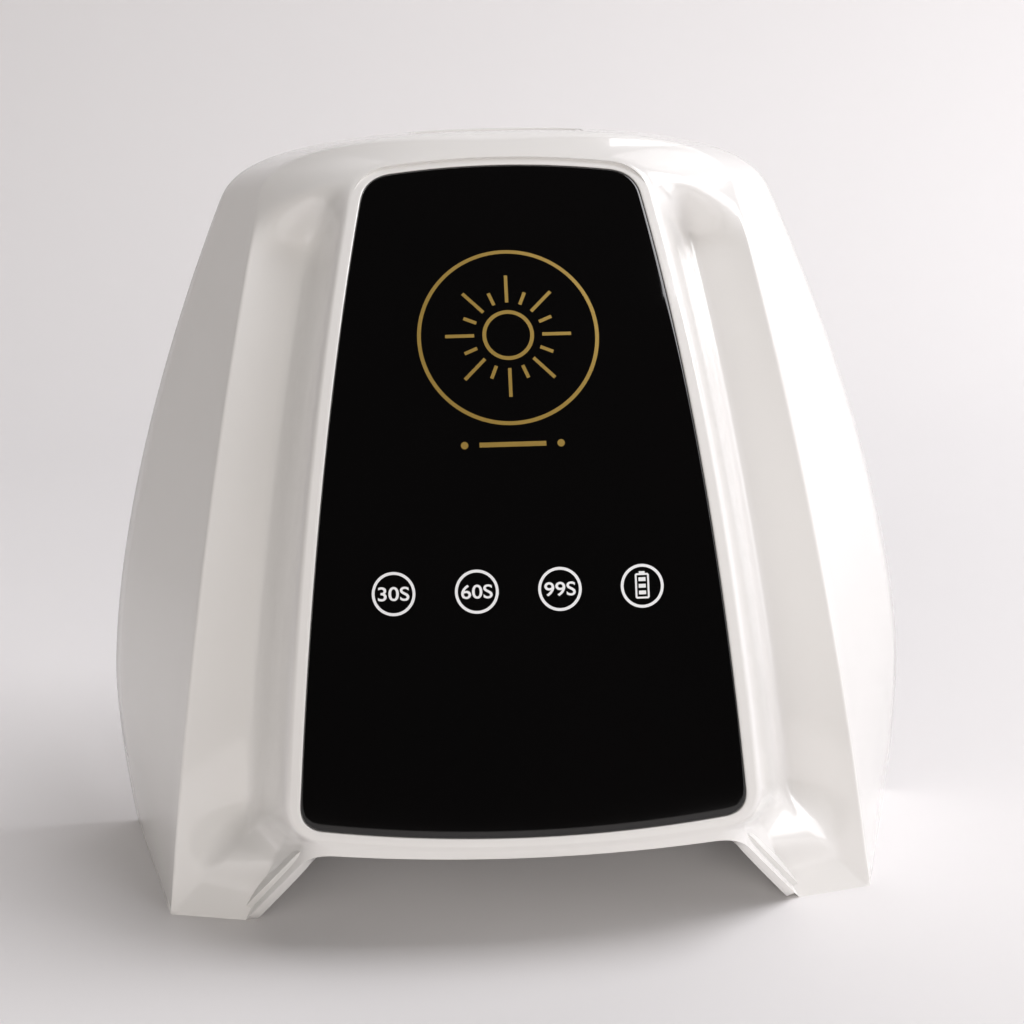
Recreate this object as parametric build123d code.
"""Cordless UV/LED curing lamp, stored standing on its front rim as it is displayed.

The lamp is drawn in its own working frame and then stood up:
    u  across the lamp, to the right
    v  along the lamp, from the hand opening towards the rear
    w  up from the base plane, as the lamp lies in use
LEAN tilts that frame so that the front rim becomes the floor, z = 0.
All sizes are in millimetres.
"""
from build123d import *
import math
import os

os.makedirs("parts", exist_ok=True)

# ---------------------------------------------------------------- driving sizes
LEAN = 14.0            # degrees that the standing lamp leans back
WALL = 2.6             # housing wall
RIDGE_HEIGHT = 91.3    # roof above the base plane at the front
CROWN = 2.9            # fall of the roof 50 mm off the middle
BASE_HALF = 128.2      # widest half-width of the base rim
BASE_WIDEST_AT = 48.0  # v of the widest place
CREASE_HALF = 99.8     # half-width of the side crease at v = 0
CREASE_HEIGHT = 56.7   # its height at v = 0
REAR = 221.3           # v of the rear of the base rim
REAR_TOP = 213.0       # v where the roof meets the rear wall
REAR_TOP_HEIGHT = 29.0
FRONT_RUNOUT = -34.0   # lofts start here, ahead of the floor plane

PANEL_FRONT, PANEL_REAR = 14.0, 200.7
PANEL_THICK = 2.0
PANEL_GAP = 0.25
RIM_WIDTH = 4.2        # white rim beside the panel

NOTCH_TOP_HALF = 57.0  # hand notch in the front rim
NOTCH_TOP_AT = 9.6
NOTCH_SLOPE = 0.86     # run out per mm down
NOTCH_RADIUS = 7.0

LINER_WALL = 1.8
LINER_ROOF_FRONT = 76.0
LINER_ROOF_FALL = 0.17

TRAY_BOTTOM, TRAY_TOP = 0.4, 3.6
FRAME_BOTTOM, FRAME_TOP = 4.2, 7.0
TRAY_FRONT = 14.0
FOOT_DROP = 2.0        # rubber feet below the tray's underside

lean = math.radians(LEAN)


# ---------------------------------------------------------------- shape formulas
def ridge(v):
    """Roof height on the middle line: level at the front, falling ever faster."""
    return RIDGE_HEIGHT - 4.9 * (max(v - 15, 0) / 75) ** 2.6


def roof(u, v):
    return ridge(v) - CROWN * (u / 50) ** 2


def rear_corner(v, start, end, inner, outer):
    """Share of the half-width left where a side line rounds into the rear."""
    share = min(max((v - start) / (end - start), 0.0), 1.0)
    return (1 - share ** inner) ** (1 / outer)


def base_half(v):
    if v < BASE_WIDEST_AT:
        half = BASE_HALF - 5.1 * ((BASE_WIDEST_AT - v) / 48) ** 1.66
    else:
        half = BASE_HALF - 4.8 * ((v - BASE_WIDEST_AT) / 42) ** 1.63
    return half * rear_corner(v, 198, REAR, 3.2, 2.2)


def crease_half(v):
    half = CREASE_HALF - 11.8 * (v / 100) - 0.9 * (v / 100) ** 2
    return half * rear_corner(v, 196, REAR_TOP, 3, 3)


def crease_height(v):
    return CREASE_HEIGHT + 5.5 * (v / 100) - 11.6 * (v / 100) ** 2


def panel_half(v):
    return 60.9 - 6.9 * (v / 100) - 1.9 * (v / 100) ** 2


def rear_limit(v):
    """Height of the slanted rear wall at v."""
    return REAR_TOP_HEIGHT * (REAR - v) / (REAR - REAR_TOP)


# ---------------------------------------------------------------- helpers
def slab(u0, u1, v0, v1, w0, w1):
    block = Box(u1 - u0, v1 - v0, w1 - w0)
    return block.moved(Location(((u0 + u1) / 2, (v0 + v1) / 2, (w0 + w1) / 2)))


def rod(base, direction, radius, length):
    """Cylinder that starts at base and runs along direction."""
    return extrude(Plane(base, z_dir=direction) * Circle(radius), amount=length)


def joined(pieces):
    """Several separate solids as one node."""
    solids = []
    for piece in pieces:
        solids += piece.solids()
    return Compound(children=solids)


def mirrored_pair(piece):
    return joined([piece, mirror(piece, about=Plane.YZ)])


def ease(x, x0, x1):
    """Smooth step from 0 at x0 to 1 at x1."""
    t = min(max((x - x0) / (x1 - x0), 0.0), 1.0)
    return t * t * (3 - 2 * t)


def scoop(v):
    """Depth share of the side channel: a little less at the feet, none in the rear band."""
    return (0.82 + 0.18 * ease(v, -4, 36)) * (1 - ease(v, 172, 204))


def side_points(v, inset):
    """Right half of the cross-section, from the base rim up to the roof's edge."""
    widest, corner = base_half(v), crease_half(v)
    step = panel_half(v) + RIM_WIDTH
    low = crease_height(v)
    high = roof(step, v)
    rise = high - low
    outer_share = 0.32 - 0.38 * scoop(v)
    inner_share = 0.72 - 0.34 * scoop(v)
    points = [
        (widest, 0.0),
        (corner, low),
        (step + 0.62 * (corner - step), low + outer_share * rise),
        (step + 0.22 * (corner - step), low + inner_share * rise),
        (step, high),
    ]
    shift_in = [1.12, 1.25, 0.35, 0.9, 1.0]
    shift_down = [0.0, 0.9, 1.0, 0.6, 1.75]
    return [(u - inset * a, w - inset * b) for (u, w), a, b in zip(points, shift_in, shift_down)]


def cross_section(v, inset=0.0, drop=0.0, back=0.0):
    """Closed outline at v; inset makes the inner wall, drop extends it below the base.

    back moves the outline forwards from v without changing its shape.
    """
    pts = side_points(v, inset)
    crown = ridge(v) - 1.75 * inset
    (u0, w0), (u1, w1) = pts[0], pts[1]
    foot = (u0 + (u0 - u1) / (w1 - w0) * drop, w0 - drop)
    right = [foot] + pts[1:]
    left = [(-u, w) for u, w in reversed(right)]
    edges = [
        Line(right[0], right[1]),
        Spline(right[1], right[2], right[3], right[4]),
        ThreePointArc(right[4], (0, crown), left[0]),
        Spline(left[0], left[1], left[2], left[3]),
        Line(left[3], left[4]),
        Line(left[4], right[0]),
    ]
    at = Plane((0, v - back, 0), x_dir=(1, 0, 0), z_dir=(0, -1, 0))
    return at * Wire([e for line in edges for e in line.edges()])


def rear_section(v, inset=0.0, drop=0.0, back=0.0):
    """Low domed outline of the slanted rear wall, with the same edges as cross_section."""
    top = max(rear_limit(v) - inset, 0.4)
    half = max(base_half(v) - inset * 1.2, 6.0)
    right = [(half, -drop), (half * 0.88, top * 0.72), (half * 0.80, top * 0.82),
             (half * 0.72, top * 0.90), (half * 0.62, top * 0.96)]
    left = [(-u, w) for u, w in reversed(right)]
    edges = [
        Line(right[0], right[1]),
        Spline(right[1], right[2], right[3], right[4]),
        ThreePointArc(right[4], (0, top), left[0]),
        Spline(left[0], left[1], left[2], left[3]),
        Line(left[3], left[4]),
        Line(left[4], right[0]),
    ]
    at = Plane((0, v - back, 0), x_dir=(1, 0, 0), z_dir=(0, -1, 0))
    return at * Wire([e for line in edges for e in line.edges()])


def body_loft(inset=0.0, drop=0.0):
    """Whole outer form (inset 0) or the hollow inside it."""
    wires = [cross_section(v, inset, drop) for v in (FRONT_RUNOUT, -8, 8, 24, 42, 56, 80, 110, 140, 165, 185)]
    wires += [cross_section(v, inset, drop, back=inset) for v in (197, 205, 209.5)]
    wires += [rear_section(v, inset, drop, back=inset) for v in (214.5, 218.2, 220.6)]
    return Solid.make_loft(wires, ruled=True)


def notch(grow, w0=-20.0, w1=130.0):
    """Prism of the hand notch between the two feet, grown by grow."""
    top = NOTCH_TOP_AT + grow
    half = NOTCH_TOP_HALF + grow * 0.41
    reach = 60.0
    outline = Polygon(
        (half, top), (-half, top), (-half - reach * NOTCH_SLOPE, top - reach),
        (half + reach * NOTCH_SLOPE, top - reach), align=None)
    corners = outline.vertices().sort_by(Axis.Y)[-2:]
    outline = fillet(corners, NOTCH_RADIUS)
    return extrude(outline, amount=w1 - w0).moved(Location((0, 0, w0)))


def panel_prism(grow, w0=0.0, w1=130.0):
    """Prism of the display panel's outline with rounded corners."""
    v0, v1 = PANEL_FRONT - grow, PANEL_REAR + grow
    middle = (v0 + v1) / 2

    def edge(v):
        return panel_half(v) + grow

    right = Spline((edge(v0), v0 + 3.5), (edge(middle), middle), (edge(v1), v1 - 3.0))
    left = Spline((-edge(v1), v1 - 3.0), (-edge(middle), middle), (-edge(v0), v0 + 3.5))
    rear = ThreePointArc((edge(v1), v1 - 3.0), (0, v1), (-edge(v1), v1 - 3.0))
    front = ThreePointArc((-edge(v0), v0 + 3.5), (0, v0), (edge(v0), v0 + 3.5))
    outline = make_face(Wire([e for c in (right, rear, left, front) for e in c.edges()]))
    by_v = outline.vertices().sort_by(Axis.Y)
    outline = fillet(by_v[:2], 5.0 + grow)
    outline = fillet(outline.vertices().sort_by(Axis.Y)[-2:], 7.0 + grow)
    return extrude(outline, amount=w1 - w0).moved(Location((0, 0, w0)))


# the floor as a huge block, in the lamp's own frame
floor_plane = Plane((0, 0, 0), x_dir=(1, 0, 0), z_dir=(0, -math.cos(lean), -math.sin(lean)))
floor_block = extrude(floor_plane * Rectangle(600, 600), amount=200)


def above_floor(piece, lift=0.0):
    """What is left of piece above the floor plane, or a plane lift above it."""
    raised = floor_block.moved(Location((0, lift * math.cos(lean), lift * math.sin(lean))))
    return piece - raised


# ---------------------------------------------------------------- forms that the pieces share
outer_form = body_loft()
inner_form = body_loft(inset=WALL, drop=12.0)
frame_form = body_loft(inset=WALL + 0.35, drop=12.0)
tray_form = body_loft(inset=WALL + 1.0, drop=12.0)
lowered_form = outer_form.moved(Location((0, 0, -PANEL_THICK)))

nodes = {}      # node name -> solid or group of solids, in the lamp's own frame


# ---------------------------------------------------------------- hand cavity
LINER_STATIONS = [
    # v, half-width at the base plane, half-width at the roof, roof height
    (FRONT_RUNOUT, 67.0, 55.0, LINER_ROOF_FRONT),
    (140.0, 75.0, 45.0, LINER_ROOF_FRONT - LINER_ROOF_FALL * (140 - FRONT_RUNOUT)),
    (185.0, 58.0, 34.0, 22.0),
]


def liner_form(inset=0.0):
    """Solid of the hand cavity, with its walls moved in by inset."""
    wires = []
    for v, low, high, top in LINER_STATIONS:
        if v > FRONT_RUNOUT:
            v -= inset
        outline = Polygon((low - inset, -6), (high - inset, top - inset),
                          (-high + inset, top - inset), (-low + inset, -6), align=None)
        outline = fillet(outline.vertices().sort_by(Axis.Y)[-2:], 8.0)
        at = Plane((0, v, 0), x_dir=(1, 0, 0), z_dir=(0, -1, 0))
        wires.append((at * outline).faces()[0].outer_wire())
    return Solid.make_loft(wires, ruled=True)


def liner_width(v, w):
    """Half-width of the liner's outside at v and height w, between its first two stations."""
    (v0, low0, high0, top0), (v1, low1, high1, top1) = LINER_STATIONS[:2]
    share = (v - v0) / (v1 - v0)
    low, high, top = [a + share * (b - a) for a, b in ((low0, low1), (high0, high1), (top0, top1))]
    return low + (high - low) * (w + 6) / (top + 6)


def liner_side(v, w, lift=0.0):
    """Plane on the liner's right wall, lifted off it, with z pointing outwards."""
    lean_in = liner_width(v, w) - liner_width(v, w + 1)
    out = Vector(1, 0, lean_in).normalized()
    at = Vector(liner_width(v, w), v, w) + out * lift
    return Plane(at, x_dir=(0, 1, 0), z_dir=out)


def liner_roof(u, v, lift=0.0):
    """Plane on the liner's roof, lifted off it, with z pointing up."""
    up = Vector(0, LINER_ROOF_FALL, 1).normalized()
    at = Vector(u, v, LINER_ROOF_FRONT - LINER_ROOF_FALL * (v - FRONT_RUNOUT)) + up * lift
    return Plane(at, x_dir=(1, 0, 0), z_dir=up)


ROOF_LED_U = (-34, -12, 12, 34)
ROOF_LED_V = (24, 50, 76, 102)
SIDE_LED_V = (46, 66, 86, 106)
SIDE_LED_W = 30.0
ROOF_BOARD_LIFT = 1.2
SIDE_BOARD_LIFT = 3.4
BEAD_RADIUS = 2.5
SENSOR_V, SENSOR_W = 24.0, 18.0


def led_bead(plane, lift):
    """Round-topped LED that hangs from its board through the liner, pointing into the cavity."""
    length = lift + LINER_WALL + 0.6
    body = Cylinder(BEAD_RADIUS, length).moved(Location((0, 0, -length / 2)))
    dome = Sphere(BEAD_RADIUS).moved(Location((0, 0, -length)))
    return plane.location * (body + dome)


def bead_hole(plane, radius=BEAD_RADIUS + 0.4):
    return plane.location * Cylinder(radius, 18)


roof_led_planes = [liner_roof(u, v, ROOF_BOARD_LIFT) for u in ROOF_LED_U for v in ROOF_LED_V]
roof_beads = [led_bead(plane, ROOF_BOARD_LIFT) for plane in roof_led_planes]

SIDE_BOARD_V = 76.0
side_board_at = liner_side(SIDE_BOARD_V, SIDE_LED_W, SIDE_BOARD_LIFT)
side_led_planes = [side_board_at.moved(Location((v - SIDE_BOARD_V, 0, 0))) for v in SIDE_LED_V]
side_beads = [led_bead(plane, SIDE_BOARD_LIFT + 0.6) for plane in side_led_planes]

holes = [bead_hole(plane) for plane in roof_led_planes]
side_holes = [bead_hole(plane) for plane in side_led_planes]
side_holes.append(bead_hole(liner_side(SENSOR_V, SENSOR_W), 2.3))
holes += side_holes + [mirror(h, about=Plane.YZ) for h in side_holes]

below_frame = slab(-200, 200, -100, 300, -40, FRAME_TOP + 0.2)
liner_outer = liner_form()
liner_hollow = liner_form(LINER_WALL)
liner = above_floor(liner_outer - liner_hollow - below_frame, 0.4) - notch(0.2)
for hole in holes:
    liner -= hole
nodes["inner_liner"] = liner

nodes["roof_led_beads"] = joined(roof_beads)
nodes["side_led_beads_right"] = joined(side_beads)
nodes["side_led_beads_left"] = joined([mirror(b, about=Plane.YZ) for b in side_beads])

BOARD_THICK = 1.6
roof_board_at = liner_roof(0, 63, ROOF_BOARD_LIFT)
roof_board = roof_board_at.location * Box(84, 96, BOARD_THICK).moved(Location((0, 0, BOARD_THICK / 2)))
nodes["roof_led_board"] = roof_board
spreader_at = liner_roof(0, 63, ROOF_BOARD_LIFT + BOARD_THICK)
spreader = Box(84, 96, 1.5).moved(Location((0, 0, 0.75)))
for rib in range(5):
    spreader += Box(78, 1.2, 4.0).moved(Location((0, -36 + 18 * rib, 3.4)))
nodes["heat_spreader"] = spreader_at.location * spreader

side_board = side_board_at.location * Box(78, 16, BOARD_THICK).moved(Location((0, 0, BOARD_THICK / 2)))
nodes["side_led_board_right"] = side_board
nodes["side_led_board_left"] = mirror(side_board, about=Plane.YZ)

sensor_at = liner_side(SENSOR_V, SENSOR_W)
sensor = Cylinder(2.1, 5.0).moved(Location((0, 0, 0.3)))
sensor += Box(6, 6, 2.2).moved(Location((0, 0, 3.9)))
nodes["hand_sensor_emitter"] = sensor_at.location * sensor
nodes["hand_sensor_receiver"] = mirror(sensor_at.location * sensor, about=Plane.YZ)


# ---------------------------------------------------------------- housing
WINDOW = slab(-45, 45, 64, 94, 30, 120)     # opening under the touch icons
POST_AT = ((90, 10), (93.5, 99), (56, 196))
POST_RADIUS = 3.6
PORT_HALF, PORT_LOW, PORT_HIGH = 27.0, 4.6, 22.4

shell = above_floor(outer_form - inner_form) - notch(0.0)
shell -= panel_prism(PANEL_GAP, 20.0) - lowered_form.moved(Location((0, 0, -0.05)))
shell -= WINDOW
for u, v in POST_AT:
    post = rod((u, v, FRAME_TOP + 0.1), (0, 0, 1), POST_RADIUS, 70) & outer_form
    post -= rod((u, v, 0), (0, 0, 1), 1.55, FRAME_TOP + 14)
    shell += post
    shell += mirror(post, about=Plane.YZ)
shell -= slab(-PORT_HALF, PORT_HALF, 206, 240, PORT_LOW, PORT_HIGH)
nodes["top_shell"] = shell

panel = (panel_prism(0.0) & outer_form) - lowered_form
nodes["display_panel"] = panel

trim = (notch(2.4) - notch(0.2)) & frame_form
trim = above_floor(trim - liner_form(-0.3) - below_frame, 0.4)
nodes["arch_trim"] = trim

frame = slab(-200, 200, -60, 260, FRAME_BOTTOM, FRAME_TOP) & frame_form
frame = above_floor(frame - liner_hollow, 0.4) - notch(0.2)
frame -= slab(-PORT_HALF - 1, PORT_HALF + 1, 208.8, 240, 0, 20)

cap = above_floor(frame_form - below_frame - notch(2.6), 0.6)
cap -= above_floor(slab(-200, 200, -100, 300, -10, 120), 2.8)
cap -= liner_form(-0.3)
caps = [piece for piece in cap.solids() if abs(piece.center().X) > 60]
nodes["foot_caps"] = joined(caps)


# ---------------------------------------------------------------- base frame, tray and magnets
MAGNET_AT = ((98, 46), (84, 152))
MAGNET_RADIUS, MAGNET_THICK = 4.0, 2.0
FOOT_AT = ((102, 34), (68, 190))
FOOT_RADIUS = 6.5

for u, v in POST_AT:
    for side in (-1, 1):
        frame -= rod((side * u, v, 0), (0, 0, 1), 1.7, 20)
        frame -= rod((side * u, v, FRAME_BOTTOM - 1), (0, 0, 1), 3.1, 2.6)
for u, v in MAGNET_AT:
    for side in (-1, 1):
        frame -= rod((side * u, v, FRAME_BOTTOM - 1), (0, 0, 1), MAGNET_RADIUS + 0.05, MAGNET_THICK + 1)

RAIL_V = (110, 146)
for v in RAIL_V:
    rail = slab(77.5, 93, v - 1.5, v + 1.5, FRAME_TOP, 9.0)
    frame += rail
    frame += mirror(rail, about=Plane.YZ)
nodes["base_frame"] = frame

screws, frame_magnets, tray_magnets, feet = [], [], [], []
for side in (-1, 1):
    for u, v in POST_AT:
        head = rod((side * u, v, FRAME_BOTTOM + 0.1), (0, 0, 1), 2.9, 1.5)
        head -= slab(side * u - 1.8, side * u + 1.8, v - 0.4, v + 0.4, 0, FRAME_BOTTOM + 0.9)
        head -= slab(side * u - 0.4, side * u + 0.4, v - 1.8, v + 1.8, 0, FRAME_BOTTOM + 0.9)
        screws.append(head + rod((side * u, v, FRAME_BOTTOM + 1.6), (0, 0, 1), 1.5, 12))
    for u, v in MAGNET_AT:
        frame_magnets.append(rod((side * u, v, FRAME_BOTTOM), (0, 0, 1), MAGNET_RADIUS, MAGNET_THICK))
        tray_magnets.append(rod((side * u, v, TRAY_TOP - MAGNET_THICK), (0, 0, 1), MAGNET_RADIUS, MAGNET_THICK))
    for u, v in FOOT_AT:
        foot = rod((side * u, v, TRAY_BOTTOM), (0, 0, -1), FOOT_RADIUS, FOOT_DROP)
        foot = fillet(foot.edges().sort_by(Axis.Z)[:1], 0.8)
        feet.append(foot)
nodes["frame_screws"] = joined(screws)
nodes["frame_magnets"] = joined(frame_magnets)

tray = slab(-200, 200, TRAY_FRONT, 260, TRAY_BOTTOM, TRAY_TOP) & tray_form
for u, v in MAGNET_AT:
    for side in (-1, 1):
        tray -= rod((side * u, v, TRAY_TOP - MAGNET_THICK), (0, 0, 1), MAGNET_RADIUS + 0.05, 5)
FILM_THICK = 0.3
film = slab(-60, 60, TRAY_FRONT + 6, 168, TRAY_TOP - FILM_THICK, TRAY_TOP)
film = fillet(film.edges().filter_by(Axis.Z), 12.0)
tray -= film
tray -= rod((0, REAR - 2, TRAY_BOTTOM - 1), (0, 0, 1), 9.0, 8)      # finger notch
nodes["base_tray"] = tray
nodes["tray_mirror_film"] = film
nodes["tray_magnets"] = joined(tray_magnets)
nodes["rubber_feet"] = joined(feet)


# ---------------------------------------------------------------- touch controls under the panel
ICON_V, ICON_PITCH, ICON_RADIUS = 78.9, 22.0, 5.4
icon_us = [ICON_PITCH * (i - 1.5) for i in range(4)]
panel_under = ridge(ICON_V) - PANEL_THICK
TOUCH_TOP = panel_under - 8.0
touch_board = slab(-43, 43, ICON_V - 12, ICON_V + 12, TOUCH_TOP - BOARD_THICK, TOUCH_TOP)
for u in (-40, 40):
    touch_board -= rod((u, ICON_V, TOUCH_TOP - 5), (0, 0, 1), 1.3, 8)
nodes["touch_board"] = touch_board

springs, icon_leds = [], []
GUIDE_HIGH = 4.6
guide = slab(-40, 40, ICON_V - 8, ICON_V + 8, TOUCH_TOP + 0.1, TOUCH_TOP + GUIDE_HIGH)
for u in icon_us:
    guide -= rod((u, ICON_V, TOUCH_TOP - 1), (0, 0, 1), 6.6, 9)
    spring = rod((u, ICON_V, TOUCH_TOP), (0, 0, 1), 3.6, GUIDE_HIGH - 0.2)
    spring -= rod((u, ICON_V, TOUCH_TOP - 1), (0, 0, 1), 3.0, 9)
    springs.append(spring)
    icon_leds.append(slab(u - 1.0, u + 1.0, ICON_V - 0.8, ICON_V + 0.8, TOUCH_TOP, TOUCH_TOP + 0.8))
nodes["icon_light_guide"] = guide
nodes["touch_springs"] = joined(springs)
nodes["icon_leds"] = joined(icon_leds)


# ---------------------------------------------------------------- batteries
CELL_RADIUS, CELL_LENGTH, CELL_FRONT = 9.3, 65.0, 22.0
CELL_AT = ((87.0, 17.2), (82.5, 35.8))
SLEEVE = 0.5
cells = [rod((u, CELL_FRONT, w), (0, 1, 0), CELL_RADIUS, CELL_LENGTH) for u, w in CELL_AT]
across = Vector(CELL_AT[1][0] - CELL_AT[0][0], 0, CELL_AT[1][1] - CELL_AT[0][1])
middle = Vector((CELL_AT[0][0] + CELL_AT[1][0]) / 2, CELL_FRONT - 0.8, (CELL_AT[0][1] + CELL_AT[1][1]) / 2)
sleeve_at = Plane(middle, x_dir=across.normalized(), z_dir=(0, 1, 0))


def stadium(grow, length):
    outline = SlotCenterToCenter(across.length, 2 * (CELL_RADIUS + grow))
    return extrude(sleeve_at * outline, amount=length)


sleeve = stadium(SLEEVE, CELL_LENGTH + 1.6) - stadium(0.05, CELL_LENGTH + 5)
nodes["battery_cells_right"] = joined(cells)
nodes["battery_cells_left"] = joined([mirror(c, about=Plane.YZ) for c in cells])
nodes["battery_sleeve_right"] = sleeve
nodes["battery_sleeve_left"] = mirror(sleeve, about=Plane.YZ)


# ---------------------------------------------------------------- circuit boards in the rear bays
BOARD_W = 9.1
driver = slab(77, 94, 106, 150, BOARD_W, BOARD_W + BOARD_THICK)
BOARD_TOP = BOARD_W + BOARD_THICK
inductor = rod((83, 116, BOARD_TOP), (0, 0, 1), 4.6, 5.0) - rod((83, 116, BOARD_TOP - 1), (0, 0, 1), 2.0, 9)
capacitor = rod((83, 128, BOARD_TOP), (0, 0, 1), 3.1, 9.0)
chip = slab(80, 87, 134, 140, BOARD_TOP, BOARD_TOP + 1.4)
buzzer = rod((84, 115, BOARD_TOP), (0, 0, 1), 5.5, 5.5) - rod((84, 115, BOARD_TOP + 3), (0, 0, 1), 1.0, 9)
socket = slab(79, 86, 143, 148, BOARD_TOP, BOARD_TOP + 5.0)
nodes["driver_board"] = mirror(driver, about=Plane.YZ)
nodes["driver_components"] = joined([mirror(p, about=Plane.YZ) for p in (inductor, capacitor, chip, socket)])
nodes["charge_board"] = driver
nodes["buzzer"] = buzzer
nodes["charge_components"] = joined([capacitor, chip, socket])


# ---------------------------------------------------------------- rear ports
PORT_FLOOR = 212.0
PORT_SET_BACK = 0.6    # of the plate's rim behind the rear wall
PORT_W = (PORT_LOW + PORT_HIGH) / 2
SWITCH_U, JACK_U, PIPE_U = -13.5, 13.5, 0.0
port = slab(-PORT_HALF + 0.15, PORT_HALF - 0.15, 209.4, 240, PORT_LOW + 0.15, PORT_HIGH - 0.15)
port &= outer_form.moved(Location((0, -PORT_SET_BACK, 0)))
port -= slab(-PORT_HALF + 1.6, PORT_HALF - 1.6, PORT_FLOOR, 240, PORT_LOW + 1.5, PORT_HIGH - 1.5)
port -= slab(SWITCH_U - 6.75, SWITCH_U + 6.75, 200, 230, PORT_W - 4.25, PORT_W + 4.25)
port -= rod((JACK_U, 200, PORT_W), (0, 1, 0), 4.1, 30)
port -= rod((PIPE_U, 200, PORT_W), (0, 1, 0), 1.35, 30)
nodes["port_plate"] = port

switch = slab(SWITCH_U - 6.65, SWITCH_U + 6.65, 199.5, PORT_FLOOR, PORT_W - 4.15, PORT_W + 4.15)
switch += slab(SWITCH_U - 7.6, SWITCH_U + 7.6, PORT_FLOOR, PORT_FLOOR + 1.3, PORT_W - 5.2, PORT_W + 5.2)
switch -= slab(SWITCH_U - 6.2, SWITCH_U + 6.2, 207.2, 230, PORT_W - 3.5, PORT_W + 3.5)
PIVOT_V = 210.3
switch -= rod((SWITCH_U, PIVOT_V, PORT_W - 3.95), (0, 0, 1), 0.85, 7.9)
for u in (-3.5, 3.5):
    switch += slab(SWITCH_U + u - 0.3, SWITCH_U + u + 0.3, 194.5, 199.5, PORT_W - 1.6, PORT_W + 1.6)
nodes["switch_body"] = switch

ROCKER_TILT = 7.0
rocker_outline = Polygon((-5.5, -0.6), (5.5, -0.6), (5.5, 3.7), (0, 2.8), (-5.5, 3.7), align=None)
rocker = extrude(rocker_outline, amount=3.2, both=True)
rocker += Cylinder(1.6, 6.4)
rocker += Cylinder(0.8, 7.6)
rocker = rocker.rotate(Axis.Z, -ROCKER_TILT).moved(Location((SWITCH_U, PIVOT_V, PORT_W)))
nodes["power_rocker"] = rocker

jack = rod((JACK_U, 201, PORT_W), (0, 1, 0), 4.0, PORT_FLOOR - 201)
jack += rod((JACK_U, PORT_FLOOR, PORT_W), (0, 1, 0), 5.6, 1.4)
jack -= rod((JACK_U, 204.5, PORT_W), (0, 1, 0), 2.85, 20)
jack -= rod((JACK_U, 200, PORT_W), (0, 1, 0), 0.6, 10)
nodes["dc_jack_body"] = jack
pin = rod((JACK_U, 201, PORT_W), (0, 1, 0), 0.6, 3.5) + rod((JACK_U, 204.5, PORT_W), (0, 1, 0), 1.0, 8.2)
nodes["dc_jack_pin"] = pin
nut_outline = Plane((JACK_U, 206.8, PORT_W), x_dir=(1, 0, 0), z_dir=(0, 1, 0)) * RegularPolygon(6.2, 6)
nut = extrude(nut_outline, amount=2.4) - rod((JACK_U, 200, PORT_W), (0, 1, 0), 4.05, 30)
nodes["dc_jack_nut"] = nut
nodes["charge_light_pipe"] = rod((PIPE_U, 205, PORT_W), (0, 1, 0), 1.3, PORT_FLOOR + 0.6 - 205)


# ---------------------------------------------------------------- leads
def lead(points, radius):
    """Insulated wire along straight runs joined by tangent arcs, each as large as its runs allow."""
    pts = [Vector(*p) for p in points]
    radii = []
    for a, b, c in zip(pts, pts[1:], pts[2:]):
        turn = math.radians((b - a).get_angle(c - b))
        run = min((b - a).length, (c - b).length)
        radii.append(0.45 * run / math.tan(turn / 2))
    path = FilletPolyline(*pts, radius=radii)
    start = Plane(path @ 0, z_dir=path % 0)
    tube = sweep(start * Circle(radius), path=path)
    expected = math.pi * radius ** 2 * path.length
    print("lead radii", [round(r, 1) for r in radii], "volume ratio", round(tube.volume / expected, 3))
    return tube


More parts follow.
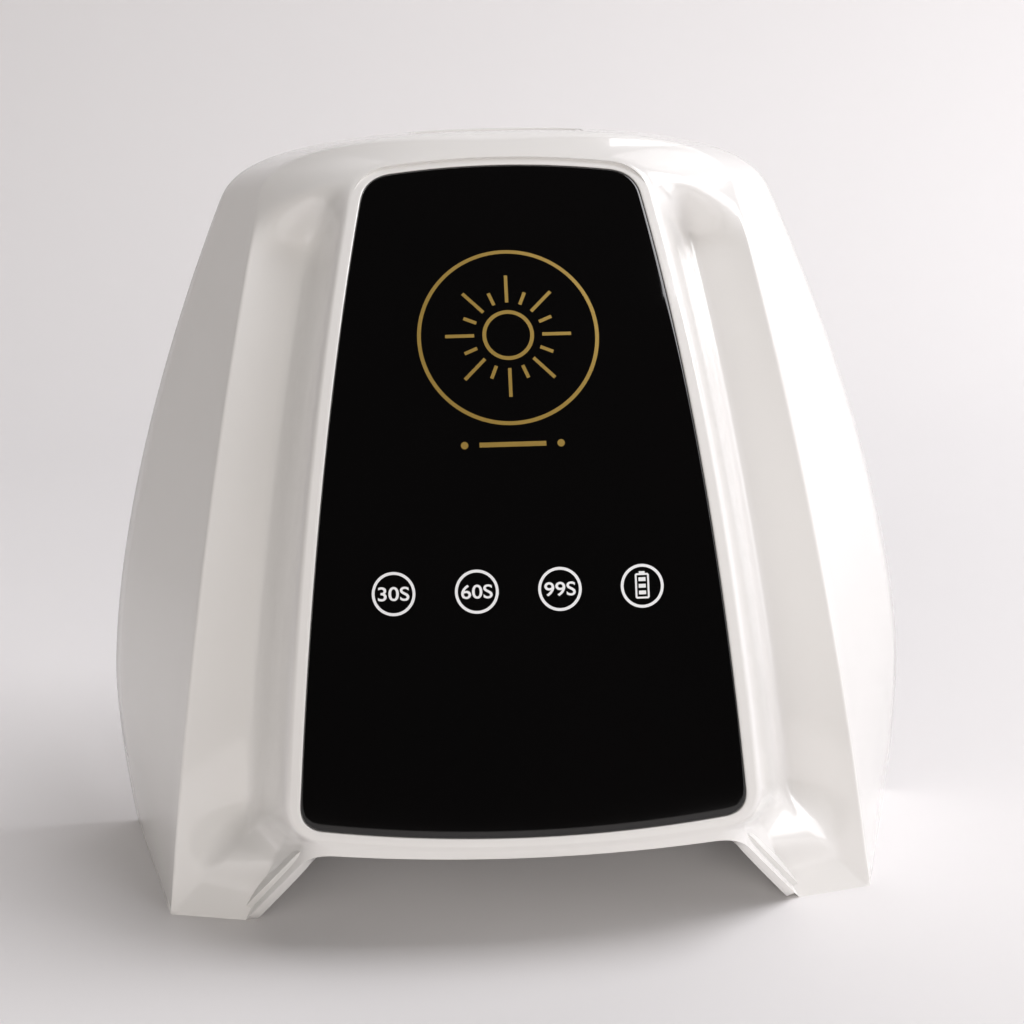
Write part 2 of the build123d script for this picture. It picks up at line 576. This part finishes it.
LEAD_RADIUS = 0.8
nodes["roof_led_lead"] = lead([(-82.5, 145.5, BOARD_TOP + 5.1), (-82.3, 145.2, 20.0), (-76, 138, 25),
                               (-68, 130, 33), (-60, 122, 42), (-51, 116, 50.5)], LEAD_RADIUS)
nodes["battery_lead_right"] = lead([(85, 87.9, 20), (84.5, 94, 21), (83.5, 100, 24),
                                    (82.5, 107, 26.5), (82.2, 115, 25.5), (82.8, 122, 22.5)], LEAD_RADIUS)
nodes["battery_lead_left"] = mirror(nodes["battery_lead_right"], about=Plane.YZ)
nodes["jack_lead"] = lead([(JACK_U, 200.9, PORT_W), (JACK_U + 0.3, 197, PORT_W), (22, 193.5, 13),
                           (36, 190.5, 12), (50, 184, 12), (63, 172, 13), (74, 158, 15),
                           (82.5, 149.2, 14.5)], LEAD_RADIUS)


# ---------------------------------------------------------------- stand it up and write the files
stand = Plane((0, 0, 0), x_dir=(1, 0, 0), z_dir=(0, -math.cos(lean), math.sin(lean)))
standing = {name: shape.moved(stand.location) for name, shape in nodes.items()}
boxes = [shape.bounding_box() for shape in standing.values()]
front, back = min(b.min.Y for b in boxes), max(b.max.Y for b in boxes)
centre_shift = Location((0, -(front + back) / 2, 0))

for name, shape in standing.items():
    export_step(shape.moved(centre_shift), f"parts/{name}.step")
print("nodes", len(standing), "shift in Y", round(-(front + back) / 2, 3))
print("size", [round(max(getattr(b.max, a) for b in boxes) - min(getattr(b.min, a) for b in boxes), 2)
               for a in "XYZ"], "lowest", round(min(b.min.Z for b in boxes), 4))


def placed(u, v, w):
    """A point of the lamp's own frame in the standing, centred frame, in metres."""
    point = Vector(u, v, w)
    x, y, z = point.X, point.Y * math.sin(lean) - point.Z * math.cos(lean), \
        point.Y * math.cos(lean) + point.Z * math.sin(lean)
    return [round(x / 1000, 6), round((y - (front + back) / 2) / 1000, 6), round(z / 1000, 6)]


print("jack pin base", placed(JACK_U, 204.5, PORT_W), "rocker pivot", placed(SWITCH_U, PIVOT_V, PORT_W))
print("tray underside", placed(0, 100, TRAY_BOTTOM), "feet plane", placed(0, 100, TRAY_BOTTOM - FOOT_DROP))
